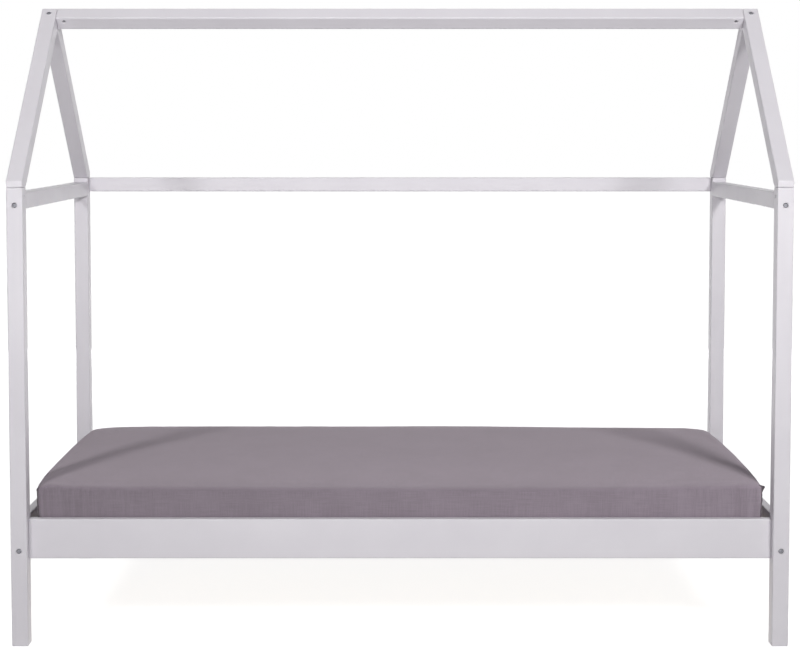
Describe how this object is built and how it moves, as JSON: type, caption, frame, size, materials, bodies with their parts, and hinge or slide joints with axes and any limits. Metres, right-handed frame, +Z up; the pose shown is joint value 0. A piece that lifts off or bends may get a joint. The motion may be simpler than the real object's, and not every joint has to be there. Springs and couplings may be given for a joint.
{
  "type": "kids canopy bed",
  "caption": "House-shaped single bed for a child: post and rafter frame in white lacquered pine, slatted base, and a mattress in a grey fitted sheet.",
  "frame": {"origin": "centre of the bed's footprint, on the floor", "axes": "+X along the bed to the right as seen from the open front, +Y from the front to the back, +Z up"},
  "size_m": [2.13, 1, 1.776],
  "materials": {
    "white_lacquer": "satin",
    "bare_pine": "matte",
    "cotton_tape": "matte",
    "zinc_steel": "satin",
    "mattress_ticking": "matte",
    "sheet_cotton": "matte"
  },
  "bodies": {
    "root": {"apex_bolt_left": "zinc_steel", "apex_bolt_right": "zinc_steel", "back_eave_bolt_left": "zinc_steel", "back_eave_bolt_right": "zinc_steel", "eave_bolt_back_left": "zinc_steel", "eave_bolt_back_right": "zinc_steel", "eave_bolt_front_left": "zinc_steel", "eave_bolt_front_right": "zinc_steel", "eave_rail_back": "white_lacquer", "eave_rail_left": "white_lacquer", "eave_rail_right": "white_lacquer", "end_rail_bolt_back_left": "zinc_steel", "end_rail_bolt_back_right": "zinc_steel", "end_rail_bolt_front_left": "zinc_steel", "end_rail_bolt_front_right": "zinc_steel", "end_rail_left": "white_lacquer", "end_rail_right": "white_lacquer", "fitted_sheet": "sheet_cotton", "ledger_back": "bare_pine", "ledger_front": "bare_pine", "mattress": "mattress_ticking", "post_back_left": "white_lacquer", "post_back_right": "white_lacquer", "post_front_left": "white_lacquer", "post_front_right": "white_lacquer", "rafter_back_left": "white_lacquer", "rafter_back_right": "white_lacquer", "rafter_front_left": "white_lacquer", "rafter_front_right": "white_lacquer", "rafter_stud_back_left": "zinc_steel", "rafter_stud_back_right": "zinc_steel", "rafter_stud_front_left": "zinc_steel", "rafter_stud_front_right": "zinc_steel", "ridge_beam": "white_lacquer", "ridge_bolt_left": "zinc_steel", "ridge_bolt_right": "zinc_steel", "side_rail_back": "white_lacquer", "side_rail_bolt_back_left": "zinc_steel", "side_rail_bolt_back_right": "zinc_steel", "side_rail_bolt_front_left": "zinc_steel", "side_rail_bolt_front_right": "zinc_steel", "side_rail_front": "white_lacquer", "slat_01": "bare_pine", "slat_02": "bare_pine", "slat_03": "bare_pine", "slat_04": "bare_pine", "slat_05": "bare_pine", "slat_06": "bare_pine", "slat_07": "bare_pine", "slat_08": "bare_pine", "slat_09": "bare_pine", "slat_10": "bare_pine", "slat_11": "bare_pine", "slat_12": "bare_pine", "slat_13": "bare_pine", "slat_14": "bare_pine", "slat_tape_back": "cotton_tape", "slat_tape_front": "cotton_tape"}
  },
  "joints": []
}
